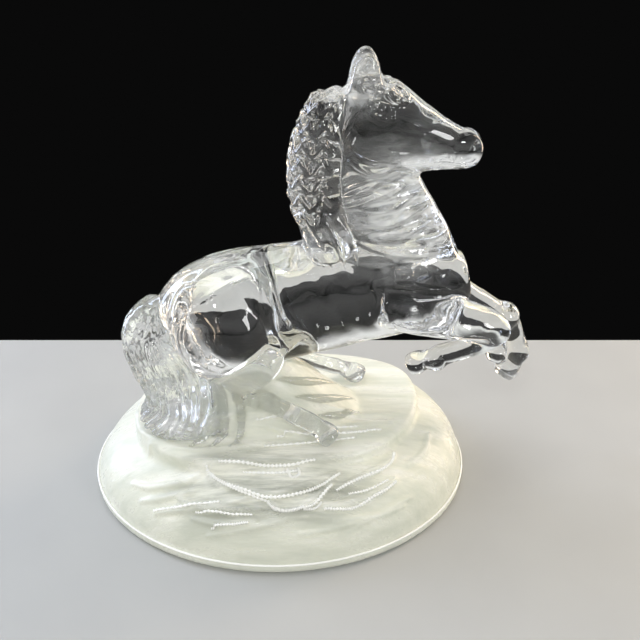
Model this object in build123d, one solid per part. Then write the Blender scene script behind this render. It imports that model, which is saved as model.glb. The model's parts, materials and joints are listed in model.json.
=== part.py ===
"""Crystal horse figurine: a clear glass horse springing up from an oval, frosted glass base.

The frame has its origin on the surface that the base stands on, at the centre of the oval.
+X is the way the horse leaps, +Y is the horse's left side, and +Z is up. All sizes are millimetres.
The glass is one mass on the real figurine, so every solid here meets its neighbours face to face.
"""

from build123d import *

import os

# ---- driving dimensions -------------------------------------------------------------------

BASE_LENGTH = 126.0
BASE_WIDTH = 101.5
FOOT_HEIGHT = 3.0  # the plain lip that the base stands on
FOOT_STEP = 1.0  # how far the lip stands out past the dome
DOME_HEIGHT = 20.0  # the dome's rise above the foot lip

TERRACE_TOP = 24.5  # the raised ground that the horse leaps from
TERRACE_BOTTOM = 12.0
TERRACE_ROUNDING = 1.5

EAR_SPREAD = 3.6  # half the distance between the ear tips
EAR_TIP_HEIGHT = 140.0

# A body mass is a list of stations from one end to the other:
# (x, y, z, half width sideways, half depth in the mass's own upright plane).

TORSO = [
    (-35.0, 0, 61.0, 4.5, 5.5),
    (-31.0, 0, 61.5, 9.5, 10.5),
    (-22.0, 0, 61.5, 13.0, 16.5),
    (-10.0, 0, 62.0, 13.5, 19.3),
    (4.0, 0, 64.3, 12.5, 19.1),
    (17.0, 0, 67.4, 12.5, 18.6),
    (30.0, 0, 70.5, 13.0, 18.0),
    (42.0, 0, 72.0, 13.0, 16.5),
    (52.0, 0, 72.5, 10.5, 12.5),
    (58.2, 0, 74.0, 6.5, 7.0),
]
HINDQUARTERS_END = -4.0  # where the haunch gives way to the barrel
BARREL_END = 27.0  # where the barrel gives way to the chest
BEHIND_ALL = -100.0  # clear of the rump
AHEAD_OF_ALL = 100.0  # clear of the muzzle

NECK = [
    (35.5, 0, 73.0, 11.5, 21.0),
    (32.0, 0, 84.0, 10.5, 20.0),
    (28.3, 0, 96.0, 9.0, 17.2),
    (26.0, 0, 107.0, 8.0, 14.2),
    (24.5, 0, 119.0, 6.5, 10.5),
]

HEAD = [
    (15.5, 0, 122.0, 3.5, 6.0),
    (20.0, 0, 121.0, 6.5, 11.0),
    (28.0, 0, 119.6, 8.0, 13.9),
    (36.0, 0, 117.2, 7.5, 11.9),
    (44.0, 0, 115.2, 5.8, 8.4),
    (51.0, 0, 113.6, 4.8, 6.3),
    (55.6, 0, 112.3, 4.2, 4.7),
    (58.0, 0, 111.9, 2.6, 2.9),
]
MUZZLE_START = 47.0

MANE = [
    (20.5, 0, 129.0, 3.6, 3.2),
    (17.3, 0, 123.7, 6.5, 6.2),
    (14.3, -0.5, 115.0, 8.6, 7.7),
    (13.2, -1.0, 104.0, 9.8, 8.1),
    (15.2, -1.5, 94.0, 11.0, 8.1),
    (17.3, -2.5, 86.0, 12.0, 8.0),
    (18.5, -3.5, 82.0, 10.5, 5.8),
]

TAIL = [
    (-32.5, 0, 66.0, 2.5, 2.6),
    (-38.0, -0.5, 60.3, 4.5, 4.5),
    (-41.3, -1.5, 53.0, 6.5, 6.3),
    (-37.0, -3.0, 44.5, 8.0, 7.5),
    (-31.0, -5.0, 36.0, 10.0, 10.3),
    (-29.0, -6.5, 27.0, 12.5, 14.0),
    (-29.5, -7.0, 20.0, 13.0, 15.0),
]

EAR = [
    (25.0, 0, 129.0, 2.6, 4.6),
    (25.8, 0, 134.0, 2.3, 4.2),
    (25.7, 0, 138.0, 1.6, 2.8),
    (25.9, 0, EAR_TIP_HEIGHT, 0.7, 1.1),
]

RIGHT_THIGH = [
    (-19.5, -5.0, 74.5, 4.0, 8.0),
    (-18.5, -7.5, 69.5, 6.5, 12.5),
    (-17.0, -10.0, 61.0, 8.5, 14.5),
    (-14.5, -10.5, 52.0, 7.5, 13.0),
    (-11.0, -10.5, 45.0, 5.0, 8.0),
]
LEFT_THIGH = [
    (-17.5, 5.0, 74.0, 4.0, 8.0),
    (-16.0, 7.5, 69.0, 6.5, 12.5),
    (-14.0, 10.0, 61.0, 8.5, 14.5),
    (-10.5, 10.5, 52.0, 7.5, 13.0),
    (-6.0, 10.5, 45.0, 5.0, 8.0),
]

# Legs are round in section: (x, y, z, radius).
RIGHT_GASKIN = [
    (5.0, -9.0, 53.0, 5.6),
    (-1.0, -12.0, 48.5, 6.2),
    (-7.5, -14.0, 44.5, 5.6),
    (-12.0, -15.0, 42.0, 4.0),
]
LEFT_GASKIN = [
    (10.0, 9.0, 52.0, 5.6),
    (6.0, 11.0, 46.5, 5.6),
    (1.5, 12.0, 41.5, 4.6),
    (-1.0, 12.5, 38.5, 3.4),
]
RIGHT_HIND_CANNON = [
    (-12.5, -15.0, 41.5, 3.6),
    (-5.0, -16.0, 39.0, 3.3),
    (4.0, -17.5, 35.0, 3.0),
    (11.5, -19.0, 31.3, 3.0),
]
LEFT_HIND_CANNON = [
    (-1.0, 12.5, 37.5, 3.4),
    (6.0, 13.0, 35.0, 3.0),
    (14.0, 13.5, 31.8, 2.7),
    (20.0, 14.0, 29.5, 2.9),
]
RIGHT_HIND_HOOF = [
    (11.5, -19.0, 31.3, 2.6),
    (13.5, -19.5, 30.0, 3.0),
    (16.0, -20.0, 28.0, 3.7),
    (17.8, -20.5, 26.3, 3.4),
]
LEFT_HIND_HOOF = [
    (20.0, 14.0, 29.5, 2.4),
    (22.5, 14.2, 28.5, 3.0),
    (25.5, 14.5, 26.5, 3.9),
    (27.5, 14.7, 25.0, 3.6),
]
RIGHT_FOREARM = [
    (33.0, -8.0, 69.5, 7.5),
    (44.0, -10.5, 67.0, 7.2),
    (55.0, -11.8, 65.2, 6.2),
    (62.5, -12.0, 63.3, 5.4),
    (67.3, -12.0, 61.0, 4.2),
]
LEFT_FOREARM = [
    (44.0, 7.0, 69.5, 7.5),
    (54.0, 8.5, 64.0, 6.4),
    (63.5, 9.5, 58.2, 5.4),
    (71.0, 10.0, 53.3, 4.7),
    (74.8, 10.2, 50.5, 3.8),
]
RIGHT_FORE_CANNON = [
    (66.0, -11.8, 59.5, 3.4),
    (61.0, -11.0, 56.0, 3.6),
    (55.0, -10.0, 52.6, 3.3),
    (50.3, -9.2, 50.6, 3.3),
    (47.9, -8.8, 49.7, 2.5),
]
LEFT_FORE_CANNON = [
    (73.2, 10.2, 53.0, 3.8),
    (76.8, 10.4, 47.5, 3.9),
    (79.0, 10.5, 42.0, 3.8),
    (79.7, 10.5, 38.0, 4.3),
    (79.3, 10.5, 35.3, 3.4),
]
RIGHT_FORE_HOOF = [
    (47.9, -8.8, 49.7, 2.3),
    (46.2, -8.7, 48.8, 3.1),
    (43.2, -8.5, 47.0, 3.8),
    (41.2, -8.4, 45.9, 3.0),
]
LEFT_FORE_HOOF = [
    (79.3, 10.5, 35.6, 3.3),
    (78.6, 10.5, 33.9, 3.8),
    (76.8, 10.4, 30.8, 4.3),
    (75.9, 10.4, 29.4, 3.6),
]


# ---- shapes -------------------------------------------------------------------------------


def oval(centre, direction, half_side, half_depth):
    """The face of an ellipse across a mass that runs along direction."""
    sideways = Vector(0, 1, 0) - direction * direction.Y
    plane = Plane(origin=centre, x_dir=sideways.normalized(), z_dir=direction)
    return plane * Ellipse(half_side, half_depth)


def mass(stations):
    """A smooth solid through ovals, each square to the line that joins its neighbours."""
    centres = [Vector(*station[:3]) for station in stations]
    faces = []
    for index, station in enumerate(stations):
        before = centres[max(index - 1, 0)]
        after = centres[min(index + 1, len(centres) - 1)]
        direction = (after - before).normalized()
        half_side, half_depth = station[3], station[-1]
        faces.append(oval(centres[index], direction, half_side, half_depth))
    return loft(faces).solid()


def less(shape, *others):
    """shape without what others fill: its largest piece, so that no crumb is left."""
    left = shape
    for other in others:
        left = left - other
    return max(left.solids(), key=lambda solid: solid.volume)


def between(shape, low_x, high_x):
    """The slice of shape from low_x to high_x."""
    taller_and_wider_than_all = 400.0
    middle = (low_x + high_x) / 2
    window = Pos(middle, 0, 0) * Box(high_x - low_x, taller_and_wider_than_all, taller_and_wider_than_all)
    return (shape & window).solid()


def base_foot():
    """The plain oval lip under the dome, with its two edges eased."""
    lip = extrude(Ellipse(BASE_LENGTH / 2, BASE_WIDTH / 2), FOOT_HEIGHT)
    easing = 0.8
    return fillet(lip.edges(), easing).solid()


def base_dome():
    """The pebble-shaped body of the base: ovals that draw in as they rise."""
    levels = [
        # (share of the oval's size, share of the dome's rise, how far it leans forwards)
        (1.0, 0.0, 0.0),
        (0.985, 0.16, 0.3),
        (0.955, 0.36, 0.9),
        (0.90, 0.56, 1.6),
        (0.79, 0.76, 2.2),
        (0.59, 0.91, 2.4),
        (0.30, 1.0, 2.4),
    ]
    faces = []
    for size, rise, lean in levels:
        half_length = (BASE_LENGTH / 2 - FOOT_STEP) * size
        half_width = (BASE_WIDTH / 2 - FOOT_STEP) * size
        height = FOOT_HEIGHT + DOME_HEIGHT * rise
        faces.append(Pos(lean, 0, height) * Ellipse(half_length, half_width))
    return loft(faces).solid()


def ground_terrace():
    """The stepped plate of ground on the dome, with the wavy edge of a bank."""
    edge = Spline(
        (45, 17), (46.5, 2), (40, -13), (23, -25.5), (-2, -27.5), (-27, -27),
        (-43, -16), (-48, 0), (-42, 16), (-22, 28), (4, 31), (30, 28),
        periodic=True,
    )
    plate = extrude(Pos(0, 0, TERRACE_BOTTOM) * make_face(edge), TERRACE_TOP - TERRACE_BOTTOM)
    rounded = plate.edges().group_by(Axis.Z)[-1]
    return fillet(rounded, TERRACE_ROUNDING).solid()


def ground_mound():
    """The rise of glass under the haunches and between the hind legs."""
    levels = [
        # (x of centre, y of centre, z, half length, half width)
        (-2, -1, 22.0, 31.0, 19.0),
        (-3, -1, 27.0, 27.0, 17.0),
        (-5, -1, 33.0, 21.0, 14.5),
        (-7, -1, 39.0, 16.0, 12.0),
        (-8, -1, 46.0, 10.0, 9.0),
    ]
    return loft([Pos(x, y, z) * Ellipse(a, b) for x, y, z, a, b in levels]).solid()


# ---- the figurine -------------------------------------------------------------------------


def glass_base():
    foot, dome = base_foot(), base_dome()
    terrace = less(ground_terrace(), dome)
    mound = less(ground_mound(), dome, terrace)
    return {
        "base_foot": foot,
        "base_dome": dome,
        "ground_terrace": terrace,
        "ground_mound": mound,
    }


def hind_leg(thigh, gaskin, cannon, hoof, body, ground):
    """Thigh, gaskin, cannon and hoof, each cut back to what it grows out of."""
    thigh = less(mass(thigh), body, *ground)
    gaskin = less(mass(gaskin), thigh, body, *ground)
    cannon = less(mass(cannon), gaskin, thigh, body, *ground)
    hoof = less(mass(hoof), cannon, *ground)
    return thigh, gaskin, cannon, hoof


def fore_leg(forearm, cannon, hoof, body):
    """Forearm with its knee, cannon and hoof, each cut back to what it grows out of."""
    forearm = less(mass(forearm), body)
    cannon = less(mass(cannon), forearm)
    hoof = less(mass(hoof), cannon)
    return forearm, cannon, hoof


def horse(base):
    torso = mass(TORSO)
    ground = [base["base_dome"], base["ground_terrace"]]
    mound = less(base["ground_mound"], torso)
    whole_head = mass(HEAD)
    neck = less(mass(NECK), torso, whole_head)

    parts = {
        "ground_mound": mound,
        "hindquarters": between(torso, BEHIND_ALL, HINDQUARTERS_END),
        "barrel": between(torso, HINDQUARTERS_END, BARREL_END),
        "chest": between(torso, BARREL_END, AHEAD_OF_ALL),
        "neck": neck,
        "head": between(whole_head, BEHIND_ALL, MUZZLE_START),
        "muzzle": between(whole_head, MUZZLE_START, AHEAD_OF_ALL),
    }
    for side, sign in (("right", -1), ("left", 1)):
        ear = Pos(0, sign * EAR_SPREAD, 0) * mass(EAR)
        parts[f"{side}_ear"] = less(ear, whole_head)

    standing = [mound, *ground]
    hind = {
        "right": (RIGHT_THIGH, RIGHT_GASKIN, RIGHT_HIND_CANNON, RIGHT_HIND_HOOF),
        "left": (LEFT_THIGH, LEFT_GASKIN, LEFT_HIND_CANNON, LEFT_HIND_HOOF),
    }
    fore = {
        "right": (RIGHT_FOREARM, RIGHT_FORE_CANNON, RIGHT_FORE_HOOF),
        "left": (LEFT_FOREARM, LEFT_FORE_CANNON, LEFT_FORE_HOOF),
    }
    for side in ("right", "left"):
        names = [f"{side}_{bit}" for bit in ("thigh", "gaskin", "hind_cannon", "hind_hoof")]
        parts.update(zip(names, hind_leg(*hind[side], torso, standing)))
        names = [f"{side}_{bit}" for bit in ("forearm", "fore_cannon", "fore_hoof")]
        parts.update(zip(names, fore_leg(*fore[side], torso)))

    parts["mane"] = less(mass(MANE), torso, neck, whole_head, parts["right_ear"], parts["left_ear"])
    parts["tail"] = less(mass(TAIL), torso, parts["right_thigh"], parts["left_thigh"], *standing)
    return parts


def main():
    os.makedirs("parts", exist_ok=True)
    base = glass_base()
    for name, solid in {**base, **horse(base)}.items():
        export_step(solid, f"parts/{name}.step")
        print(f"{name}: {solid.volume:.0f} cubic millimetres")


main()
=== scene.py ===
# %% [markdown]
# # A crystal horse on a frosted base
#
# The real figurine is lead crystal: a clear, fire-polished horse that grows out of an oval base whose
# surface was frosted in acid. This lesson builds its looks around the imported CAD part. Every piece stays
# in the CAD part's own frame, in metres, with +X the way the horse leaps and +Z up.

# %% Start: load the frame and keep its box
import json
import math

import bpy
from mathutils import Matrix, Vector

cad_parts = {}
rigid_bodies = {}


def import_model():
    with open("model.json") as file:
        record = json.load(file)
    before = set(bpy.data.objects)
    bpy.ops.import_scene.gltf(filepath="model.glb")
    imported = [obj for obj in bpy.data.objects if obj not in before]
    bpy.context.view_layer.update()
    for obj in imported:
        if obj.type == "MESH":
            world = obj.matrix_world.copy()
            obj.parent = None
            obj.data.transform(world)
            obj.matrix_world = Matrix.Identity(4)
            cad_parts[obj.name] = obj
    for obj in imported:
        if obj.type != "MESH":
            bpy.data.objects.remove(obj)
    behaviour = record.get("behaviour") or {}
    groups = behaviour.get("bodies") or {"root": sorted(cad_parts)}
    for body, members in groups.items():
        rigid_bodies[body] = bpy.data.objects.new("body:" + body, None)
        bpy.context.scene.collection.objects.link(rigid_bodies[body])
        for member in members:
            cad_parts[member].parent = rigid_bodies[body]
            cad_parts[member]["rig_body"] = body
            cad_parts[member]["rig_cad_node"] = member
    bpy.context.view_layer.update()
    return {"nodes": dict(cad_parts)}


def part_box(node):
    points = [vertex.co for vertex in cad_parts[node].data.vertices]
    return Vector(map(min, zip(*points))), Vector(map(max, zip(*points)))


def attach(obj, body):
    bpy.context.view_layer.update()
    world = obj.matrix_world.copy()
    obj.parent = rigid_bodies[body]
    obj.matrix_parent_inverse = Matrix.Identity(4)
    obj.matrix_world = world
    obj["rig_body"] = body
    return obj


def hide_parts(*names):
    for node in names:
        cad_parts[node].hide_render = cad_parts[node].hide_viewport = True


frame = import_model()
MM = 0.001
print("CAD nodes:", len(frame["nodes"]))

# %% [markdown]
# ## Small tools
#
# Everything below is done as by hand: one object is made active, a primitive or a curve is added, and
# modifiers are applied. Places come from the boxes of the CAD nodes, as shares of a node's size, so a
# detail stays on its form if the form is resized.

# %% Select, apply a modifier, and join
def pick(*objects):
    """Only these objects are selected, and the first is active."""
    bpy.ops.object.select_all(action="DESELECT")
    for thing in objects:
        thing.select_set(True)
    bpy.context.view_layer.objects.active = objects[0]


def finish_with(thing, kind, **settings):
    """Adds one modifier with its settings and applies it."""
    pick(thing)
    modifier = thing.modifiers.new(kind.title(), kind)
    for name, value in settings.items():
        setattr(modifier, name, value)
    bpy.ops.object.modifier_apply(modifier=modifier.name)


def joined(objects, name):
    """One mesh out of several, with its place in its vertices."""
    pick(*objects)
    bpy.ops.object.join()
    thing = bpy.context.active_object
    thing.name = thing.data.name = name
    bpy.ops.object.transform_apply(location=True, rotation=True, scale=True)
    return thing


def melted(thing, voxel, soften):
    """One skin over everything in the mesh, softened a number of times."""
    finish_with(thing, "REMESH", mode="VOXEL", voxel_size=voxel, use_smooth_shade=True)
    finish_with(thing, "SMOOTH", factor=0.5, iterations=soften)
    print(thing.name, "melted into", len(thing.data.polygons), "faces")


# %% Places: a share of a node's box, a node's cut at a height, and a smooth run of values
def at(node, x, y, z):
    """The point at these shares of a node's box."""
    low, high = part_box(node)
    return Vector([low[i] + (high[i] - low[i]) * share for i, share in enumerate((x, y, z))])


def section(node, height):
    """Centre and half sizes, along X and Y, of a node's cut at this height."""
    band = 0.9 * MM
    near = [v.co for v in frame["nodes"][node].data.vertices if abs(v.co.z - height) < band]
    xs, ys = [p.x for p in near], [p.y for p in near]
    return ((min(xs) + max(xs)) / 2, (min(ys) + max(ys)) / 2,
            (max(xs) - min(xs)) / 2, (max(ys) - min(ys)) / 2)


def sections(node, trim, count):
    """A node's cuts from its top to its bottom, both trimmed: height, centre and half sizes."""
    low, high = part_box(node)
    top, bottom = high.z - trim, low.z + trim
    levels = [top + (bottom - top) * step / (count - 1) for step in range(count)]
    return [(z, *section(node, z)) for z in levels]


def eased(stops, steps):
    """A smooth run of values through these stops: a Catmull-Rom curve, several steps to a stop."""
    run = []
    for i in range(len(stops) - 1):
        a, b = stops[max(i - 1, 0)], stops[i]
        c, d = stops[i + 1], stops[min(i + 2, len(stops) - 1)]
        for step in range(steps):
            t = step / steps
            run.append(tuple(
                0.5 * (2 * q + (r - p) * t + (2 * p - 5 * q + 4 * r - s) * t * t
                       + (3 * q - p - 3 * r + s) * t ** 3)
                for p, q, r, s in zip(a, b, c, d)))
    return run + [tuple(stops[-1])]


# %% [markdown]
# ## Copies of the CAD forms
#
# The forms of the horse are separate solids that meet face to face. The real glass has no walls inside
# it, and a wall inside clear glass would show. So the forms are copied, joined, and skinned anew with one
# voxel remesh, which keeps only the outer surface. Smoothing then softens the seams like molten glass.

# %% Copy nodes
SAME_POINT = 0.002 * MM


def copies_of(nodes):
    """A merged copy of each of these CAD nodes, free of its tags and its material."""
    made = []
    for node in nodes:
        copy = frame["nodes"][node].copy()
        copy.data = frame["nodes"][node].data.copy()
        copy.parent = None
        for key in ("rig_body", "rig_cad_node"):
            del copy[key]
        copy.data.materials.clear()
        bpy.context.scene.collection.objects.link(copy)
        pick(copy)
        bpy.ops.object.mode_set(mode="EDIT")
        bpy.ops.mesh.select_all(action="SELECT")
        bpy.ops.mesh.remove_doubles(threshold=SAME_POINT)
        bpy.ops.object.mode_set(mode="OBJECT")
        made.append(copy)
    return made


SIDES = (("right", -1), ("left", 1))
LEG_FORMS = ("thigh", "gaskin", "hind_cannon", "hind_hoof", "forearm", "fore_cannon", "fore_hoof")
HORSE_NODES = ["hindquarters", "barrel", "chest", "neck", "head", "muzzle", "right_ear", "left_ear"]
HORSE_NODES += [f"{side}_{form}" for side, _ in SIDES for form in LEG_FORMS]
print("forms of the horse:", len(HORSE_NODES))

# %% [markdown]
# ## Muscles and bones
#
# The mould gave the horse round cheeks, a brow, shoulders and knees. They could be sculpted, but a sculpted
# bump can't be measured or moved. So each is an egg of glass, set half into the form it belongs to and
# melted into it. The gaskins are eggs too, because in the glass they lie folded up against the thighs.

# %% Eggs of glass
EGG_SEGMENTS, EGG_RINGS = 28, 18


def egg(place, size, turn=0.0):
    """A ball stretched to these half sizes in millimetres and turned about Y."""
    bpy.ops.object.select_all(action="DESELECT")
    bpy.ops.mesh.primitive_uv_sphere_add(
        segments=EGG_SEGMENTS, ring_count=EGG_RINGS, radius=MM, location=place,
        rotation=(0, math.radians(turn), 0), scale=size)
    return bpy.context.active_object


def both_sides(node, x, out, z, size, turn=0.0):
    """The same egg on the right and the left, out millimetres from the middle of the horse or of the leg."""
    made = []
    for side, sign in SIDES:
        name = node.replace("SIDE", side)
        place = at(name, x, 0.5, z)
        if "SIDE" not in node:
            place.y = sign * out * MM
        else:
            place.y += sign * out * MM
        made.append(egg(place, size, turn))
    return made


eggs = []
eggs += both_sides("head", 0.42, 3.4, 0.44, (8.8, 5.0, 9.4), 20)  # cheek
eggs += both_sides("head", 0.50, 4.6, 0.88, (5.2, 2.4, 2.0), 22)  # brow
eggs += both_sides("muzzle", 0.60, 1.8, 0.42, (4.6, 4.0, 5.2), 10)  # nostril and lips
eggs += both_sides("chest", 0.50, 8.0, 0.50, (10.0, 6.2, 12.0), -15)  # shoulder
eggs += both_sides("SIDE_forearm", 0.90, 0.0, 0.24, (5.2, 5.2, 5.0), 0)  # knee
eggs += both_sides("SIDE_gaskin", 0.30, 0.0, 0.48, (11.0, 6.2, 6.4), -36)  # gaskin, tight to the thigh
eggs += both_sides("SIDE_fore_cannon", 0.10, 0.0, 0.16, (3.7, 3.6, 3.4), 0)  # fetlock
print("eggs:", len(eggs))

# %% Melt the body, and let it flow a little
BODY_VOXEL = 0.6 * MM
FLOW_WIDTH, FLOW_DEPTH = 9 * MM, 0.9 * MM
plain_forms = [name for name in HORSE_NODES if not name.endswith("gaskin")]
body = joined([*copies_of(plain_forms), *eggs], "body_forms")
melted(body, BODY_VOXEL, 10)
flow = bpy.data.textures.new("slow_flow", "CLOUDS")
flow.noise_scale = FLOW_WIDTH
flow.noise_depth = 1
finish_with(body, "DISPLACE", texture=flow, texture_coords="LOCAL", strength=FLOW_DEPTH, mid_level=0.5)

# %% [markdown]
# ## Ropes of glass
#
# Folds of skin, locks of hair and the lines of the ground are all ropes of glass: a curve with a round
# section whose radius changes along it. One tool draws a rope through points; another lays it on a
# surface, sunk in so far that it melts into a fold.

# %% Draw a rope
ROPE_ROUNDNESS = 2


def rope(points, radii):
    """A round rope through these points, closed at both ends."""
    curve = bpy.data.curves.new("rope", "CURVE")
    curve.dimensions = "3D"
    curve.bevel_depth = 1.0
    curve.bevel_resolution = ROPE_ROUNDNESS
    curve.use_fill_caps = True
    spline = curve.splines.new("POLY")
    spline.points.add(len(points) - 1)
    for point, place, radius in zip(spline.points, points, radii):
        point.co = (*place, 1.0)
        point.radius = radius
    thing = bpy.data.objects.new("rope", curve)
    bpy.context.scene.collection.objects.link(thing)
    pick(thing)
    bpy.ops.object.convert(target="MESH")
    return bpy.context.active_object


print("a rope has", 4 * (ROPE_ROUNDNESS + 1), "sides")

# %% Lay a rope on a surface
FAR = 0.3  # metres: outside the horse, where a line of sight starts
BEAD_STEPS = 4  # points of a rope in one bead


def laid(thing, node, stops, seen_from, sink=0.5, beads=0.0, steps=10):
    """A rope on the surface of thing, seen from the right, the left or the top. A stop is two shares of
    the node's box and a radius in millimetres: along and up for a flank, along and across for the top.
    Sink is how deep the rope lies, in radii, and beads is how much its radius swells and shrinks."""
    low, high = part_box(node)
    points, radii = [], []
    for number, (along, second, radius) in enumerate(eased(stops, steps)):
        x = low.x + (high.x - low.x) * along
        if seen_from == "top":
            y = low.y + (high.y - low.y) * second
            start, aim = Vector((x, y, FAR)), Vector((0, 0, -1))
        else:
            sign = -1 if seen_from == "right" else 1
            z = low.z + (high.z - low.z) * second
            start, aim = Vector((x, sign * FAR, z)), Vector((0, -sign, 0))
        found, place, normal, _ = thing.ray_cast(start, aim)
        if found:
            swell = 1 + beads * math.sin(2 * math.pi * number / BEAD_STEPS)
            points.append(place - normal * radius * sink * MM)
            radii.append(radius * swell * MM)
    return rope(points, radii)


print("a rope can be laid on a surface")

# %% [markdown]
# ## Folds of skin
#
# The horse bends, and the mould shows it: curved folds fan out under the jaw, a V-shaped fold hangs at the
# flank, a collar runs round the foot of the neck, and the croup is scored by long shallow ridges. A bump
# map would bend the light too little in clear glass, so each fold is a rope that is melted in.

# %% Folds of skin on the neck, the flank and the shoulder
NECK_FOLDS = [
    [(0.17, 0.56, 0.6), (0.30, 0.62, 1.8), (0.46, 0.72, 0.8)],
    [(0.18, 0.48, 0.6), (0.34, 0.55, 2.2), (0.56, 0.65, 0.8)],
    [(0.20, 0.41, 0.6), (0.42, 0.47, 2.4), (0.68, 0.57, 0.8)],
    [(0.26, 0.33, 0.6), (0.50, 0.38, 2.4), (0.76, 0.48, 0.8)],
    [(0.32, 0.25, 0.6), (0.56, 0.29, 2.2), (0.83, 0.38, 0.8)],
    [(0.20, 0.45, 0.6), (0.25, 0.38, 1.6), (0.34, 0.31, 1.4), (0.50, 0.26, 0.6)],
]
FLANK_FOLD = [(0.02, 0.70, 0.6), (0.05, 0.56, 1.7), (0.10, 0.40, 2.6), (0.20, 0.24, 3.4)]
COLLAR_FOLD = [(0.24, 0.25, 0.6), (0.42, 0.17, 1.7), (0.62, 0.12, 2.0), (0.90, 0.11, 0.8)]
CHEEK_FOLD = [(0.33, 0.80, 0.4), (0.22, 0.62, 1.2), (0.19, 0.42, 1.4), (0.28, 0.22, 1.4),
              (0.47, 0.13, 1.3), (0.64, 0.22, 0.5)]
CROUP_FOLDS = [
    [(0.40, 0.70, 0.4), (0.62, 0.80, 1.2), (0.90, 0.88, 0.6)],
    [(0.34, 0.78, 0.4), (0.55, 0.90, 1.1), (0.86, 0.96, 0.6)],
    [(0.22, 0.62, 0.4), (0.16, 0.45, 1.3), (0.22, 0.24, 0.6)],
    [(0.32, 0.66, 0.4), (0.26, 0.46, 1.1), (0.30, 0.26, 0.6)],
]
SHOULDER_FOLDS = [
    [(0.06, 1.02, 0.4), (0.04, 0.82, 1.0), (0.08, 0.61, 1.1), (0.04, 0.43, 0.5)],
    [(0.05, 1.10, 0.4), (0.23, 1.12, 0.9), (0.46, 1.01, 0.9), (0.64, 0.92, 0.4)],
    [(0.12, 0.50, 0.4), (0.30, 0.42, 0.8), (0.50, 0.46, 0.4)],
]
FACE_FOLD = [(0.60, 0.70, 0.4), (0.74, 0.60, 1.0), (0.86, 0.56, 1.0), (0.97, 0.58, 0.5)]
folds = []
for side, _ in SIDES:
    folds += [laid(body, "neck", stops, side, 0.6) for stops in NECK_FOLDS]
    folds += [laid(body, "hindquarters", stops, side, 0.5) for stops in CROUP_FOLDS]
    folds.append(laid(body, "neck", COLLAR_FOLD, side, 0.7))
    folds.append(laid(body, "barrel", FLANK_FOLD, side, 0.7))
    folds.append(laid(body, "head", CHEEK_FOLD, side, 0.5))
    folds.append(laid(body, "head", FACE_FOLD, side, 0.5))
    folds += [laid(body, f"{side}_forearm", stops, side, 0.4) for stops in SHOULDER_FOLDS]
print("folds:", len(folds))

# %% [markdown]
# ## Eyes and brow
#
# Each eye is a small ball in a raised lid. Above it the glass was pinched into rings, which show as bright
# loops on the forehead. A ring is a rope laid on the head in a closed loop.

# %% The point of the body's side that lies over a place
def seen_at(thing, place, sign):
    """Where the line of sight from this side through place meets thing, and the surface's normal."""
    _, hit, normal, _ = thing.ray_cast(Vector((place.x, sign * FAR, place.z)), Vector((0, -sign, 0)))
    return hit, normal


cheek, _ = seen_at(body, at("head", 0.42, 0.5, 0.44), 1)
print("the left cheek stands out", round(cheek.y / MM, 1), "mm")

# %% Eyes, their lids, and the rings of the brow
RING_STOPS = 12
RING_SLANT = 0.35  # a ring drops towards the nose, as the face does


def ring(node, x, z, wide, tall, radius, side):
    """A closed rope on the body round this share of a node's box; sizes in millimetres."""
    low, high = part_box(node)
    stops = []
    for step in range(RING_STOPS + 1):
        turn = 2 * math.pi * step / RING_STOPS
        along = wide * math.cos(turn)
        up = tall * math.sin(turn) - RING_SLANT * along
        stops.append((x + along * MM / (high.x - low.x), z + up * MM / (high.z - low.z), radius))
    return laid(body, node, stops, side, 0.15)


eyes = []
for side, sign in SIDES:
    place, normal = seen_at(body, at("head", 0.45, 0.5, 0.74), sign)
    eyes.append(egg(place - normal * 0.2 * MM, (2.0, 1.5, 1.7), 20))
    eyes.append(ring("head", 0.45, 0.74, 3.4, 2.6, 0.6, side))
    eyes.append(ring("head", 0.37, 0.93, 2.2, 1.6, 0.7, side))
    eyes.append(ring("head", 0.60, 0.86, 2.6, 1.6, 0.7, side))
print("eyes, lids and brow rings:", len(eyes))

# %% [markdown]
# ## Nostrils, mouth and ears
#
# These are sunk into the glass. A displacement could press them in, but it would stretch the skin, so eggs
# and ropes are used as cutters and taken away with one boolean. An ear has a single upright slit.

# %% Hollows: nostrils, mouth and ears are cut in
cutters = []
for side, sign in SIDES:
    place, normal = seen_at(body, at("muzzle", 0.80, 0.5, 0.62), sign)
    cutters.append(egg(place + normal * 0.2 * MM, (1.5, 0.9, 1.0), -30))
    mouth = [(-0.30, 0.20, 0.35), (0.05, 0.24, 0.6), (0.40, 0.20, 0.55), (0.85, 0.22, 0.4)]
    cutters.append(laid(body, "muzzle", mouth, side, -0.1))
    slit = [(0.44, 0.06, 0.3), (0.50, 0.30, 0.75), (0.55, 0.60, 0.75), (0.60, 0.88, 0.3)]
    cutters.append(laid(body, f"{side}_ear", slit, side, 0.1))
cutter = joined(cutters, "cutter")
finish_with(body, "BOOLEAN", operation="DIFFERENCE", object=cutter, solver="EXACT")
bpy.data.objects.remove(cutter)
print("body after cutting:", len(body.data.polygons), "faces")

# %% [markdown]
# ## Mane
#
# The mane falls down the crest as a slab of side-by-side locks. Ripples run across it in rows that dip
# in the middle of each lock, so the light makes zigzags. A row is one rope bent round the slab, and the
# deep valley between two rows is what shines. The locks end in pointed tips over the shoulder.

# %% Mane: rows of zigzag ripples
ROW_STEP = 4.9 * MM
LOCKS = 9
MANE_CUTS = 60
RIPPLE_STEPS = 180
RIPPLE_TURN = 324  # degrees of the way round; the rest lies against the neck
RIPPLE_HEIGHT = 3.4 * MM
RIPPLED_SHARE = 0.86  # of the mane's height; the rest is left to the tips
mane_cuts = sections("mane", 2 * MM, MANE_CUTS)
mane_top, mane_bottom = mane_cuts[0][0], mane_cuts[-1][0]
mane = copies_of(["mane"])


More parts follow.
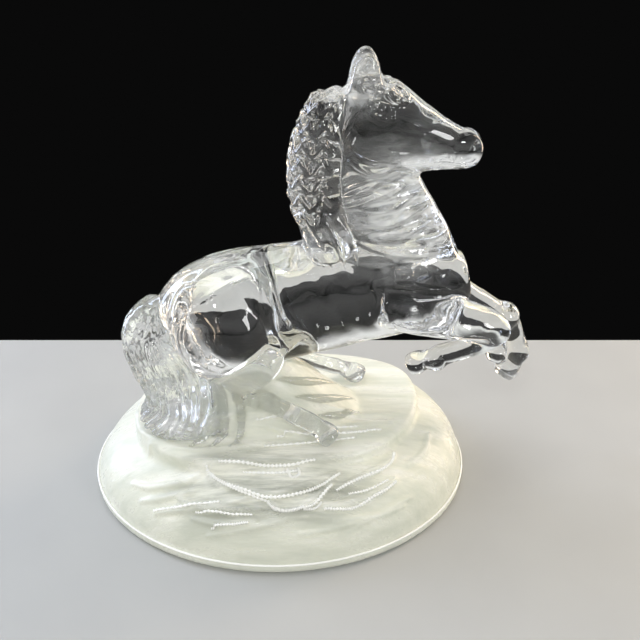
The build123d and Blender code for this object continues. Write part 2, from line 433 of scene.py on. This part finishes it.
def on_mane(height, around):
    """The point on the mane's outside at this height and this way round, and nothing past its ends."""
    share = min(1.0, max(0.0, (mane_top - height) / (mane_top - mane_bottom)))
    _, x, y, half_x, half_y = mane_cuts[round(share * (MANE_CUTS - 1))]
    return Vector((x - 0.96 * half_x * math.cos(around), y + 0.97 * half_y * math.sin(around), height))


rows = int((mane_top - mane_bottom) * RIPPLED_SHARE / ROW_STEP)
for row in range(rows):
    points, radii = [], []
    for step in range(RIPPLE_STEPS + 1):
        around = math.radians(RIPPLE_TURN * (step / RIPPLE_STEPS - 0.5))
        across = around * LOCKS / (2 * math.pi)
        from_middle = 2 * abs(across - round(across))
        height = mane_top - (row + 0.6) * ROW_STEP + RIPPLE_HEIGHT * (from_middle ** 1.5 - 0.4)
        points.append(on_mane(height, around))
        radii.append((1.15 + 0.30 * from_middle) * MM)
    mane.append(rope(points, radii))
print("rows of ripples:", rows)

# %% Mane: pointed tips
TIPS = 11
TIPS_TURN = 330  # degrees
FIRST_TIP_CUT = 41
TIP_RADIUS, TIP_END_RADIUS = 1.35, 0.25  # millimetres
for number in range(TIPS):
    around = math.radians(TIPS_TURN * (number / (TIPS - 1) - 0.5))
    points, radii = [], []
    for index in range(FIRST_TIP_CUT, MANE_CUTS):
        z, x, y, half_x, half_y = mane_cuts[index]
        share = (index - FIRST_TIP_CUT) / (MANE_CUTS - 1 - FIRST_TIP_CUT)
        sweep = math.sin(math.pi * share) * 1.6 * MM
        points.append((x - half_x * math.cos(around) * 0.95 + 4.0 * MM * share * share + sweep,
                       y + half_y * math.sin(around), z - 2.0 * MM * share))
        radii.append(max(TIP_END_RADIUS, TIP_RADIUS * (1 - share ** 2)) * MM)
    mane.append(rope(points, radii))
print("pieces of the mane, its tips included:", len(mane))

# %% [markdown]
# ## Tail
#
# The tail leaves the dock as one smooth lock, narrows, and spreads into fine strands that sweep round
# onto the ground. Each strand is a rope that follows the tail's own cuts with a slow twist.

# %% Tail: combed strands
STRANDS = 24
TAIL_CUTS = 40
TAIL_TWIST = 0.9  # radians from the dock to the ground
STRAND_RADIUS, STRAND_GROWTH = 0.78, 0.45  # millimetres
tail_cuts = sections("tail", 2.2 * MM, TAIL_CUTS)
tail = copies_of(["tail"])
for number in range(STRANDS):
    points, radii = [], []
    for index, (z, x, y, half_x, half_y) in enumerate(tail_cuts):
        share = index / (TAIL_CUTS - 1)
        turn = 2 * math.pi * number / STRANDS + TAIL_TWIST * share * share
        turn += 0.08 * math.sin(8 * share + number)
        reach = 1.02 + 0.06 * share ** 3
        points.append((x - half_x * math.cos(turn) * reach, y + half_y * math.sin(turn) * reach, z))
        radii.append((STRAND_RADIUS + STRAND_GROWTH * share + 0.15 * math.sin(3 * number)) * MM)
    tail.append(rope(points, radii))
print("tail strands:", STRANDS)

# %% [markdown]
# ## The frosted base
#
# The dome carries a terrace of ground and, on its front, a relief of flowing lines. The relief is more
# ropes, laid on from above and melted in, because the ropes can be drawn stroke by stroke, as a mould maker
# cuts them. The front has the most strokes, and some more run over the glass between the hind legs.

# %% Base with its relief
base = joined(copies_of(["base_foot", "base_dome", "ground_terrace", "ground_mound"]), "frosted_base")
melted(base, BODY_VOXEL, 4)
RELIEF = [
    [(0.33, 0.22, 0.8), (0.35, 0.19, 1.5), (0.39, 0.16, 1.7), (0.49, 0.13, 1.8), (0.56, 0.15, 1.6),
     (0.61, 0.18, 1.2), (0.65, 0.21, 0.7)],
    [(0.49, 0.11, 0.7), (0.52, 0.08, 1.4), (0.56, 0.09, 1.5), (0.62, 0.14, 1.3), (0.65, 0.19, 0.7)],
    [(0.62, 0.10, 0.8), (0.67, 0.11, 1.4), (0.74, 0.15, 1.5), (0.80, 0.21, 0.8)],
    [(0.65, 0.15, 0.7), (0.72, 0.20, 1.4), (0.78, 0.26, 1.3), (0.80, 0.30, 0.7)],
    [(0.26, 0.15, 0.8), (0.31, 0.115, 1.5), (0.38, 0.095, 1.6), (0.47, 0.085, 0.8)],
    [(0.30, 0.09, 0.7), (0.37, 0.065, 1.3), (0.46, 0.06, 0.7)],
    [(0.34, 0.05, 0.7), (0.42, 0.047, 1.0), (0.50, 0.055, 1.0), (0.58, 0.075, 0.6)],
    [(0.56, 0.035, 0.6), (0.64, 0.055, 1.0), (0.72, 0.085, 0.6)],
    [(0.70, 0.07, 0.6), (0.77, 0.12, 1.0), (0.84, 0.18, 0.6)],
    [(0.48, 0.30, 0.5), (0.60, 0.32, 1.0), (0.74, 0.35, 0.5)],
    [(0.62, 0.41, 0.5), (0.70, 0.43, 1.1), (0.82, 0.45, 0.6)],
    [(0.63, 0.37, 0.5), (0.71, 0.39, 1.1), (0.82, 0.41, 0.6)],
    [(0.17, 0.31, 0.6), (0.30, 0.265, 1.2), (0.46, 0.30, 0.6)],
    [(0.14, 0.37, 0.6), (0.20, 0.31, 1.4), (0.28, 0.30, 1.4), (0.34, 0.38, 0.7)],
    [(0.17, 0.41, 0.5), (0.22, 0.35, 1.2), (0.28, 0.345, 1.2), (0.31, 0.40, 0.6)],
    [(0.20, 0.135, 0.7), (0.28, 0.115, 1.3), (0.37, 0.108, 1.3), (0.44, 0.12, 0.7)],
    [(0.13, 0.24, 0.7), (0.19, 0.20, 1.4), (0.27, 0.19, 1.3), (0.33, 0.22, 0.7)],
    [(0.16, 0.18, 0.7), (0.22, 0.16, 1.3), (0.30, 0.155, 0.7)],
    [(0.645, 0.07, 0.6), (0.74, 0.10, 1.3), (0.82, 0.15, 0.7)],
    [(0.83, 0.26, 0.6), (0.88, 0.33, 1.4), (0.90, 0.42, 0.8)],
    [(0.46, 0.36, 0.7), (0.56, 0.35, 1.5), (0.66, 0.36, 1.4), (0.80, 0.39, 0.6)],
    [(0.44, 0.33, 0.7), (0.54, 0.325, 1.3), (0.64, 0.335, 1.2), (0.76, 0.36, 0.6)],
]
GROUND_LINES = [
    [(0.02, 0.20, 0.6), (0.12, 0.06, 1.2), (0.26, 0.02, 1.2), (0.44, 0.08, 0.6)],
    [(0.10, 0.30, 0.6), (0.20, 0.16, 1.2), (0.34, 0.12, 1.1), (0.48, 0.16, 0.6)],
    [(0.16, 0.40, 0.6), (0.26, 0.28, 1.1), (0.38, 0.24, 1.0), (0.50, 0.28, 0.6)],
    [(0.30, 0.02, 0.5), (0.48, -0.02, 1.0), (0.66, 0.02, 0.5)],
]
RELIEF_VOXEL = 0.55 * MM
relief = [laid(base, "base_dome", stops, "top", 0.2) for stops in RELIEF]
relief += [laid(base, "ground_mound", stops, "top", 0.25) for stops in GROUND_LINES]
print("relief lines:", len(relief))
base = joined([base, *relief], "frosted_base")
melted(base, RELIEF_VOXEL, 2)

# %% [markdown]
# ## Brushed ground
#
# The ground of the base was brushed along its length before it was frosted. Two cloud textures, stretched
# by an empty that gives them their own coordinates, push the skin in and out by less than a millimetre: one
# broad, and one fine and shallower. A vertex group fades them out towards the foot, which stays plain so
# that the piece stands flat.

# %% Brushed ground: two stretched clouds push the skin
PLAIN_BELOW = 5 * MM
FADE_HEIGHT = 6 * MM
upper = base.vertex_groups.new(name="upper")
for vertex in base.data.vertices:
    weight = min(1.0, max(0.0, (vertex.co.z - PLAIN_BELOW) / FADE_HEIGHT))
    upper.add([vertex.index], weight, "REPLACE")
for label, size, depth in (("broad", (26 * MM, 6 * MM, 6 * MM), 1.5 * MM),
                           ("fine", (9 * MM, 1.6 * MM, 1.6 * MM), 0.45 * MM)):
    cloud = bpy.data.textures.new(label + "_brushing", "CLOUDS")
    cloud.noise_scale = 1.0
    cloud.noise_depth = 1
    bpy.ops.object.empty_add(location=(0, 0, 0), rotation=(0, 0, math.radians(8)), scale=size)
    stretch = bpy.context.active_object
    finish_with(base, "DISPLACE", texture=cloud, texture_coords="OBJECT", texture_coords_object=stretch,
                strength=depth, mid_level=0.55, vertex_group="upper")
    bpy.data.objects.remove(stretch)
    print(label, "brushing:", round(depth / MM, 2), "mm deep")
base.vertex_groups.clear()

# %% [markdown]
# ## Polished lines in painted glint white
#
# The acid didn't reach the crests of the relief, so each carries a fine line of tiny beads, and the
# lip of the foot has a polished edge. They are ropes of their own, laid on the finished ground, and
# their opaque white paints on the glints that the polished crests and the lip throw.

# %% Polished lines on the relief: fine beaded ropes in a white that paints on glints
BEADED = [
    [(0.45, 0.335, 0.33), (0.58, 0.355, 0.42), (0.71, 0.37, 0.33)],
    [(0.50, 0.315, 0.33), (0.62, 0.33, 0.42), (0.73, 0.35, 0.33)],
    [(0.34, 0.20, 0.33), (0.37, 0.165, 0.42), (0.42, 0.135, 0.42), (0.49, 0.105, 0.33)],
    [(0.42, 0.205, 0.33), (0.50, 0.20, 0.38), (0.56, 0.21, 0.33)],
    [(0.20, 0.14, 0.33), (0.28, 0.118, 0.38), (0.37, 0.112, 0.33)],
    [(0.68, 0.14, 0.33), (0.73, 0.16, 0.42), (0.78, 0.20, 0.33)],
    [(0.33, 0.215, 0.39), (0.36, 0.175, 0.47), (0.41, 0.145, 0.47), (0.49, 0.115, 0.47),
     (0.57, 0.135, 0.47), (0.62, 0.165, 0.47), (0.66, 0.205, 0.39)],
    [(0.36, 0.222, 0.39), (0.44, 0.222, 0.47), (0.52, 0.222, 0.47), (0.60, 0.23, 0.39)],
    [(0.53, 0.215, 0.39), (0.54, 0.185, 0.42), (0.56, 0.195, 0.42), (0.555, 0.218, 0.39)],
    [(0.485, 0.105, 0.39), (0.505, 0.082, 0.52), (0.53, 0.075, 0.52), (0.56, 0.082, 0.47),
     (0.60, 0.105, 0.47), (0.64, 0.16, 0.39)],
    [(0.62, 0.092, 0.38), (0.67, 0.097, 0.47), (0.71, 0.115, 0.47), (0.76, 0.155, 0.47),
     (0.80, 0.20, 0.39)],
    [(0.65, 0.145, 0.39), (0.70, 0.18, 0.47), (0.75, 0.215, 0.47), (0.79, 0.26, 0.38), (0.80, 0.30, 0.39)],
    [(0.57, 0.085, 0.39), (0.60, 0.093, 0.42), (0.615, 0.11, 0.39)],
    [(0.31, 0.10, 0.33), (0.38, 0.083, 0.38), (0.45, 0.075, 0.33)],
    [(0.35, 0.06, 0.33), (0.40, 0.055, 0.38), (0.44, 0.056, 0.33)],
    [(0.47, 0.285, 0.33), (0.58, 0.30, 0.38), (0.70, 0.325, 0.33)],
    [(0.62, 0.33, 0.33), (0.70, 0.345, 0.38), (0.77, 0.365, 0.33)],
]
lines = [laid(base, "base_dome", stops, "top", sink=-0.1, beads=0.5, steps=32) for stops in BEADED]
print("beaded lines:", len(lines))

# %% Polished edge on the lip of the foot, in the same white as a painted glint
RIM_STEPS = 180
RIM_HEIGHT, RIM_RADIUS = 3.1 * MM, 0.35 * MM
_, foot_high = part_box("base_foot")
rim_x, rim_y = foot_high.x - 1.1 * RIM_RADIUS, foot_high.y - 1.1 * RIM_RADIUS
rim = []
for step in range(RIM_STEPS + 1):
    turn = 2 * math.pi * step / RIM_STEPS
    rim.append((rim_x * math.cos(turn), rim_y * math.sin(turn), RIM_HEIGHT))
beads = joined([rope(rim, [RIM_RADIUS] * len(rim)), *lines], "relief_lines_painted_glints")
print("faces of the polished lines:", len(beads.data.polygons))

# %% [markdown]
# ## Glass between the hind legs
#
# The legs don't stand free: the mould left a web of clear glass between them, drawn out in streaks, and the
# tail runs out onto the base in three tongues. Each is a thick rope laid on the ground, which the next
# step melts into the horse.

# %% Web of glass
WEB_STREAKS = [
    [(0.54, 0.25, 0.5), (0.70, 0.38, 1.7), (0.88, 0.66, 0.4)],
    [(0.64, 0.22, 0.5), (0.80, 0.33, 1.7), (0.97, 0.54, 0.4)],
    [(0.42, 0.32, 0.5), (0.60, 0.48, 1.7), (0.78, 0.78, 0.4)],
    [(0.76, 0.18, 0.4), (0.88, 0.26, 1.5), (1.00, 0.40, 0.4)],
    [(0.36, 0.24, 0.5), (0.53, 0.40, 1.6), (0.72, 0.68, 0.4)],
]
TAIL_FOOT = [
    [(0.27, 0.47, 1.2), (0.315, 0.40, 2.0), (0.32, 0.33, 1.6), (0.28, 0.28, 0.5)],
    [(0.30, 0.47, 1.2), (0.355, 0.40, 2.0), (0.365, 0.335, 1.5), (0.33, 0.275, 0.5)],
    [(0.33, 0.46, 1.2), (0.395, 0.39, 1.9), (0.41, 0.33, 1.4), (0.38, 0.275, 0.5)],
]
streaks = [laid(base, "ground_mound", stops, "top", 0.2) for stops in WEB_STREAKS]
streaks += [laid(base, "base_dome", stops, "top", 0.25) for stops in TAIL_FOOT]
print("streaks and tongues:", len(streaks))

# %% [markdown]
# ## One skin of glass
#
# Body, folds, eyes, mane, tail and streaks are joined and skinned once more with a finer voxel. Now light
# meets only two surfaces on its way through, as it does in the real casting.

# %% The whole horse in one skin of glass
SKIN_VOXEL = 0.45 * MM
horse = joined([body, *folds, *eyes, *mane, *tail, *streaks], "clear_crystal_horse")
melted(horse, SKIN_VOXEL, 2)

# %% [markdown]
# ## Trimming
#
# Where ropes almost touch, the voxel skin leaves crumbs and bubbles a fraction of a millimetre wide, so the
# skin is separated into its loose parts and only the large ones are joined again. The skins are also finer
# than they have to be on the flat parts, so a decimate brings each piece under the limit. The faces are
# then shaded smooth, as polished and etched glass both are.

# %% Drop loose crumbs
FEWEST_FACES = 400


def without_crumbs(thing):
    """The thing without its loose parts of fewer than FEWEST_FACES faces."""
    name = thing.name
    pick(thing)
    bpy.ops.mesh.separate(type="LOOSE")
    parts = sorted(bpy.context.selected_objects, key=lambda part: -len(part.data.polygons))
    kept = [part for part in parts if len(part.data.polygons) >= FEWEST_FACES]
    for crumb in parts[len(kept):]:
        bpy.data.objects.remove(crumb)
    print(name, "keeps", len(kept), "of", len(parts), "loose parts")
    return joined(kept, name)


horse, base = without_crumbs(horse), without_crumbs(base)

# %% Trim each piece to a sensible number of faces
MOST_TRIANGLES = 190_000
for thing in (horse, base):
    triangles = 2 * len(thing.data.polygons)
    if triangles > MOST_TRIANGLES:
        finish_with(thing, "DECIMATE", ratio=MOST_TRIANGLES / triangles)
for thing in (horse, base, beads):
    pick(thing)
    bpy.ops.object.shade_smooth()
    print(thing.name, len(thing.data.polygons), "faces")

# %% [markdown]
# ## Materials
#
# The two glasses differ only in their surface and in what lies just under it, so both are a Principled
# shader fed by noise. The patterns read Object coordinates, in metres, which stay with the piece and let a
# grain be given its real size: a noise scale of one over a length makes grains about that long. A painted
# picture could give the same tones, but it needs an unwrapped surface, and its seams would show in glass.

# %% Tools for materials
def linear(hex_code):
    """sRGB hex to linear red, green, blue and alpha."""
    parts = [int(hex_code[i:i + 2], 16) / 255 for i in (1, 3, 5)]
    return (*[p / 12.92 if p <= 0.04045 else ((p + 0.055) / 1.055) ** 2.4 for p in parts], 1.0)


def add(tree, kind, values=None, links=None, **properties):
    """One node with its properties, its socket values and what is linked into it."""
    made = tree.nodes.new(kind)
    for name, value in properties.items():
        setattr(made, name, value)
    for name, value in (values or {}).items():
        made.inputs[name].default_value = value
    for name, source in (links or {}).items():
        tree.links.new(source, made.inputs[name])
    return made


def new_material(name):
    """An empty material, its node tree, and the Object coordinates that its patterns read."""
    material = bpy.data.materials.new(name)
    material.use_nodes = True
    tree = material.node_tree
    tree.nodes.clear()
    return material, tree, add(tree, "ShaderNodeTexCoord").outputs["Object"]


print("materials can be made")

# %% [markdown]
# ## Clear crystal
#
# Lead crystal bends light more than window glass does, and fire polishing leaves it almost without
# roughness, so the eye gets sharp bright edges round a dark, clear middle. Where it ran thick or thin in the
# mould it keeps a milky haze in streaks: in the neck, the forehead, along the back and down at the ground.
# The haze lowers the transmission there.

# %% Clear crystal
LEAD_CRYSTAL_IOR = 1.545
SWIRL_WIDTH, STRAND_WIDTH = 6 * MM, 5 * MM
RIPPLE_DEPTH = 0.08 * MM
crystal, tree, where = new_material("fire_polished_lead_crystal")
swirl = add(tree, "ShaderNodeTexNoise", {"Scale": 1 / SWIRL_WIDTH, "Detail": 2.0}, {"Vector": where})
tone = add(tree, "ShaderNodeMix", {"A": linear("#fefefe"), "B": linear("#f6f9f6")},
           {"Factor": swirl.outputs["Fac"]}, data_type="RGBA")


def near(centre, reach, most):
    """How much haze: most at the centre, none at reach millimetres from it."""
    away = add(tree, "ShaderNodeVectorMath", {1: tuple(c * MM for c in centre)}, {0: where},
               operation="DISTANCE")
    fade = add(tree, "ShaderNodeMapRange", {"From Min": 0.35 * reach * MM, "From Max": reach * MM,
                                            "To Min": most, "To Max": 0.0},
               {"Value": away.outputs["Value"]}, interpolation_type="SMOOTHSTEP")
    return fade.outputs["Result"]


def larger(a, b):
    """The larger of two amounts of haze, so that clouds of it overlap without adding up."""
    return add(tree, "ShaderNodeMath", links={0: a, 1: b}, operation="MAXIMUM").outputs["Value"]


height = add(tree, "ShaderNodeSeparateXYZ", links={"Vector": where})
ground = add(tree, "ShaderNodeMapRange", {"From Min": 26 * MM, "From Max": 38 * MM, "To Min": 0.35,
                                          "To Max": 0.0}, {"Value": height.outputs["Z"]})
CLOUDS_OF_HAZE = (  # centre and reach in millimetres, and how milky the centre is
    ((37, 0, 96), 26, 0.60),  # neck
    ((-38, -10, 45), 30, 0.30),  # haunch, down to the tail
    ((24, 0, 131), 12, 0.45),  # forehead
    ((17, -4, 88), 15, 0.50),  # withers
    ((-22, 0, 82), 18, 0.22),  # croup
    ((12, 0, 110), 20, 0.10),  # mane
)
haze = ground.outputs["Result"]
for centre, reach, most in CLOUDS_OF_HAZE:
    haze = larger(haze, near(centre, reach, most))
combed = add(tree, "ShaderNodeMapping", {"Scale": (0.5, 1.0, 1.6)}, {"Vector": where})
strands = add(tree, "ShaderNodeTexNoise", {"Scale": 1 / STRAND_WIDTH, "Detail": 4.0, "Distortion": 1.2},
              {"Vector": combed.outputs["Vector"]})
streaky = add(tree, "ShaderNodeMapRange", {"From Min": 0.38, "From Max": 0.62, "To Min": 0.15},
              {"Value": strands.outputs["Fac"]})
milky = add(tree, "ShaderNodeMath", links={0: haze, 1: streaky.outputs["Result"]}, operation="MULTIPLY")
clarity = add(tree, "ShaderNodeMath", {0: 1.0}, {1: milky.outputs["Value"]}, operation="SUBTRACT")
wipe = add(tree, "ShaderNodeMapRange", {"To Min": 0.002, "To Max": 0.02}, {"Value": swirl.outputs["Fac"]})
skin = add(tree, "ShaderNodeBump", {"Strength": 0.3, "Distance": RIPPLE_DEPTH},
           {"Height": strands.outputs["Fac"]})
glass = add(tree, "ShaderNodeBsdfPrincipled", {"IOR": LEAD_CRYSTAL_IOR},
            {"Base Color": tone.outputs["Result"], "Roughness": wipe.outputs["Result"],
             "Transmission Weight": clarity.outputs["Value"], "Normal": skin.outputs["Normal"]})
add(tree, "ShaderNodeOutputMaterial", links={"Surface": glass.outputs[0]})
print(crystal.name, "has", len(tree.nodes), "nodes")

# %% [markdown]
# ## Frosted crystal
#
# Acid leaves a fine grain that scatters light, so the base looks like milk with a little yellow-green in
# it. The tone follows the brushing, in streaks along the base, and grows darker towards the foot. Round
# the relief the acid bit less: there the glass is clearer and shinier, and darker between the lines. The
# real grain is too fine to see, so the grit is drawn 0.7 mm wide. The polished edges are the same glass
# with little roughness and no patch, but opaque and white: the white paints on their glints.

# %% Frosted crystal
STREAK_WIDTH, STREAK_DEPTH = 5 * MM, 0.6 * MM
GRIT_WIDTH, GRIT_DEPTH = 0.7 * MM, 0.05 * MM
MILK_DEPTH = 5 * MM
PATCH_X, PATCH_Y = -1.7 * MM, -33.075 * MM
PATCH_HALF_X, PATCH_HALF_Y = 34 * MM, 13.5 * MM


def frosted(name, light, dark, low, clear, rough_low, rough_high, milkiness, patch_clear=0.0):
    """A frosted glass: streaks from light to dark and to the low tone at the foot, how clear it is, its
    roughness from and to, how milky it is, and how much clearer it is in the patch round the relief."""
    material, tree, where = new_material(name)
    brush = add(tree, "ShaderNodeMapping", {"Scale": (0.12, 1.0, 0.6), "Rotation": (0, 0, -0.14)},
                {"Vector": where})
    cloud = add(tree, "ShaderNodeTexNoise", {"Scale": 1 / STREAK_WIDTH, "Detail": 6.0, "Roughness": 0.65},
                {"Vector": brush.outputs["Vector"]})
    contrast = add(tree, "ShaderNodeMapRange", {"From Min": 0.36, "From Max": 0.64},
                   {"Value": cloud.outputs["Fac"]})
    grit = add(tree, "ShaderNodeTexNoise", {"Scale": 1 / GRIT_WIDTH, "Detail": 2.0}, {"Vector": where})
    tone = add(tree, "ShaderNodeMix", {"A": linear(light), "B": linear(dark)},
               {"Factor": contrast.outputs["Result"]}, data_type="RGBA")
    up = add(tree, "ShaderNodeSeparateXYZ", links={"Vector": where})
    # The tone darkens towards the foot: below 22 mm the low tone is mixed in, up to 28 per cent at 4 mm.
    lighter_upwards = add(tree, "ShaderNodeMapRange", {"From Min": 4 * MM, "From Max": 22 * MM, "To Min": 0.72},
                {"Value": up.outputs["Z"]}, interpolation_type="SMOOTHSTEP")
    tone = add(tree, "ShaderNodeMix", {"A": linear(low)},
               {"Factor": lighter_upwards.outputs["Result"], "B": tone.outputs["Result"]}, data_type="RGBA")
    etch = add(tree, "ShaderNodeMapRange", {"To Min": rough_low, "To Max": rough_high},
               {"Value": contrast.outputs["Result"]})
    streak = add(tree, "ShaderNodeBump", {"Strength": 0.6, "Distance": STREAK_DEPTH},
                 {"Height": cloud.outputs["Fac"]})
    skin = add(tree, "ShaderNodeBump", {"Strength": 0.25, "Distance": GRIT_DEPTH},
               {"Height": grit.outputs["Fac"], "Normal": streak.outputs["Normal"]})
    shrunk = add(tree, "ShaderNodeMapping",
                 {"Location": (-PATCH_X / PATCH_HALF_X, -PATCH_Y / PATCH_HALF_Y, 0),
                  "Scale": (1 / PATCH_HALF_X, 1 / PATCH_HALF_Y, 0)}, {"Vector": where})
    away = add(tree, "ShaderNodeVectorMath", links={0: shrunk.outputs["Vector"]}, operation="LENGTH")
    patch = add(tree, "ShaderNodeMapRange", {"From Min": 0.55, "From Max": 1.15, "To Min": patch_clear,
                                             "To Max": 0.0},
                {"Value": away.outputs["Value"]}, interpolation_type="SMOOTHSTEP")
    streaked = add(tree, "ShaderNodeMath", links={0: patch.outputs["Result"],
                                                  1: contrast.outputs["Result"]}, operation="MULTIPLY")
    clarity = add(tree, "ShaderNodeMath", {1: clear}, {0: streaked.outputs["Value"]}, operation="ADD")
    smoother = add(tree, "ShaderNodeMath", {1: 0.35}, {0: streaked.outputs["Value"]}, operation="MULTIPLY")
    etched = add(tree, "ShaderNodeMath", links={0: etch.outputs["Result"], 1: smoother.outputs["Value"]},
                 operation="SUBTRACT", use_clamp=True)
    milk = add(tree, "ShaderNodeBsdfPrincipled",
               {"IOR": 1.5, "Specular IOR Level": 0.35, "Subsurface Weight": milkiness,
                "Subsurface Scale": MILK_DEPTH, "Subsurface Radius": (1.0, 1.0, 0.9)},
               {"Base Color": tone.outputs["Result"], "Roughness": etched.outputs["Value"],
                "Transmission Weight": clarity.outputs["Value"], "Normal": skin.outputs["Normal"]})
    add(tree, "ShaderNodeOutputMaterial", links={"Surface": milk.outputs[0]})
    print(name, "has", len(tree.nodes), "nodes")
    return material


frost = frosted("acid_frosted_lead_crystal", light="#fffff0", dark="#e3e6d6", low="#c4c7b4", clear=0.10,
                rough_low=0.20, rough_high=0.46, milkiness=0.35, patch_clear=0.50)
# The polished lines are opaque white with a little gloss: the white paints on the glints of their crests.
polish = frosted("frost_edges_painted_glint_white", light="#fffffa", dark="#fcfcf6", low="#fffffa", clear=0.0,
                 rough_low=0.06, rough_high=0.18, milkiness=0.0)

# %% [markdown]
# ## Dressing the pieces
#
# Each piece takes one material, and the horse and the base stand in for the CAD nodes that they were made
# from. The polished lines stand for no node: they are a detail of the base. The slots keep the names of the
# two glasses.

# %% Put the materials on
for thing, material in ((horse, crystal), (base, frost), (beads, polish)):
    thing.data.materials.clear()
    thing.data.materials.append(material)
    print(thing.name, "is made of", material.name)

# %% Stand the pieces in for the CAD nodes
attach(horse, "root")
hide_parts(*HORSE_NODES, "mane", "tail")
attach(base, "root")
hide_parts("base_foot", "base_dome", "ground_terrace", "ground_mound")
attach(beads, "root")
print("pieces on the CAD frame:", horse.name, base.name, beads.name)

# %% [markdown]
# ## Floor
#
# A plain painted board. It ends shortly behind the piece, so the glass is seen against the dark room behind
# it, as clear glass has to be to show its edges.

# %% Floor
TABLE_BACK = 0.075
TABLE_LONG, TABLE_DEEP, TABLE_THICK = 1.6, 0.9, 0.02
PAINT_CLOUD = 30 * MM
table, tree, where = new_material("pale_painted_board")
cloud = add(tree, "ShaderNodeTexNoise", {"Scale": 1 / PAINT_CLOUD}, {"Vector": where})
tone = add(tree, "ShaderNodeMix", {"A": linear("#b0b1af"), "B": linear("#b8b9b6")},
           {"Factor": cloud.outputs["Fac"]}, data_type="RGBA")
board = add(tree, "ShaderNodeBsdfPrincipled", {"Roughness": 0.6}, {"Base Color": tone.outputs["Result"]})
add(tree, "ShaderNodeOutputMaterial", links={"Surface": board.outputs[0]})
bpy.ops.object.select_all(action="DESELECT")
bpy.ops.mesh.primitive_cube_add(size=1, location=(0, TABLE_BACK - TABLE_DEEP / 2, -TABLE_THICK / 2),
                                scale=(TABLE_LONG, TABLE_DEEP, TABLE_THICK))
floor = bpy.context.active_object
floor.name = "pale_table"
bpy.ops.object.transform_apply(location=True, rotation=True, scale=True)
floor.data.materials.append(table)
print("the table ends", round(TABLE_BACK / MM), "mm behind the middle")

# %% [markdown]
# ## Studio light
#
# Clear glass shows what it mirrors and bends, so it is lit from outside the camera's view. A soft box hangs
# overhead, a cool strip stands on the left and a warm one on the right, which gives the edges their faint
# blue and orange. Two low lights rake over the relief of the base, and a small key light in front makes the
# sparkles. The tent behind is bright only above the camera's view.

# %% Studio light
def softbox(name, place, aim, width, height, watts, colour):
    """A soft box of this width and height in metres, aimed at a point."""
    light = bpy.data.lights.new(name, "AREA")
    light.shape = "RECTANGLE"
    light.size, light.size_y = width, height
    light.energy = watts
    light.color = linear(colour)[:3]
    holder = bpy.data.objects.new(name, light)
    holder.location = place
    holder.rotation_euler = (Vector(aim) - Vector(place)).to_track_quat("-Z", "Y").to_euler()
    bpy.context.scene.collection.objects.link(holder)


middle = (0, 0, 0.05)
softbox("top_softbox", (-0.1, 0.15, 0.75), middle, 0.7, 0.5, 2.6, "#ffffff")
softbox("left_strip", (-0.45, 0.20, 0.20), middle, 0.12, 0.6, 2.0, "#d6e2ff")
softbox("right_strip", (0.45, 0.25, 0.20), middle, 0.10, 0.6, 2.0, "#ffe6c8")
softbox("front_left_low", (-0.70, -0.40, 0.28), middle, 0.34, 0.34, 1.1, "#ffffff")
softbox("front_right_low", (0.60, -0.55, 0.28), middle, 0.12, 0.30, 1.5, "#ffffff")
softbox("front_key", (-0.15, -0.60, 0.65), middle, 0.08, 0.08, 0.8, "#ffffff")
print("lights:", len(bpy.data.lights))

# %% The tent over a dark room
world = bpy.data.worlds.new("tent_over_dark_room")
world.use_nodes = True
tree = world.node_tree
tree.nodes.clear()
sky = add(tree, "ShaderNodeTexCoord").outputs["Generated"]
up = add(tree, "ShaderNodeSeparateXYZ", links={"Vector": sky})
rise = add(tree, "ShaderNodeMapRange", {"From Min": -0.12, "From Max": 0.22, "To Min": 0.003,
                                        "To Max": 0.80},
           {"Value": up.outputs["Z"]}, interpolation_type="SMOOTHSTEP")
fall = add(tree, "ShaderNodeMapRange", {"From Min": 0.30, "From Max": 0.75, "To Min": 1.0, "To Max": 0.3},
           {"Value": up.outputs["Z"]}, interpolation_type="SMOOTHSTEP")
tent = add(tree, "ShaderNodeMath", links={0: rise.outputs["Result"], 1: fall.outputs["Result"]},
           operation="MULTIPLY")
glow = add(tree, "ShaderNodeBackground", {"Color": (1, 1, 1, 1)}, {"Strength": tent.outputs["Value"]})
add(tree, "ShaderNodeOutputWorld", links={"Surface": glow.outputs[0]})
bpy.context.scene.world = world
print("world:", world.name)

# %% [markdown]
# ## Camera
#
# A 45 mm lens close to the piece and above it, on its right side, looks down at about 32 degrees. So the
# whole oval of the base is seen, and the far edge of the table lies behind the horse's belly.

# %% Camera
LOOKS_DOWN = 32.2
camera_data = bpy.data.cameras.new("camera")
camera_data.lens = 45
camera_data.sensor_width = 36
camera = bpy.data.objects.new("camera", camera_data)
camera.location = (0.0137, -0.212, 0.191)
camera.rotation_euler = (math.radians(90 - LOOKS_DOWN), 0, 0)
bpy.context.scene.collection.objects.link(camera)
bpy.context.scene.camera = camera
bpy.context.scene.view_settings.view_transform = "Standard"
print("camera at", tuple(camera.location))
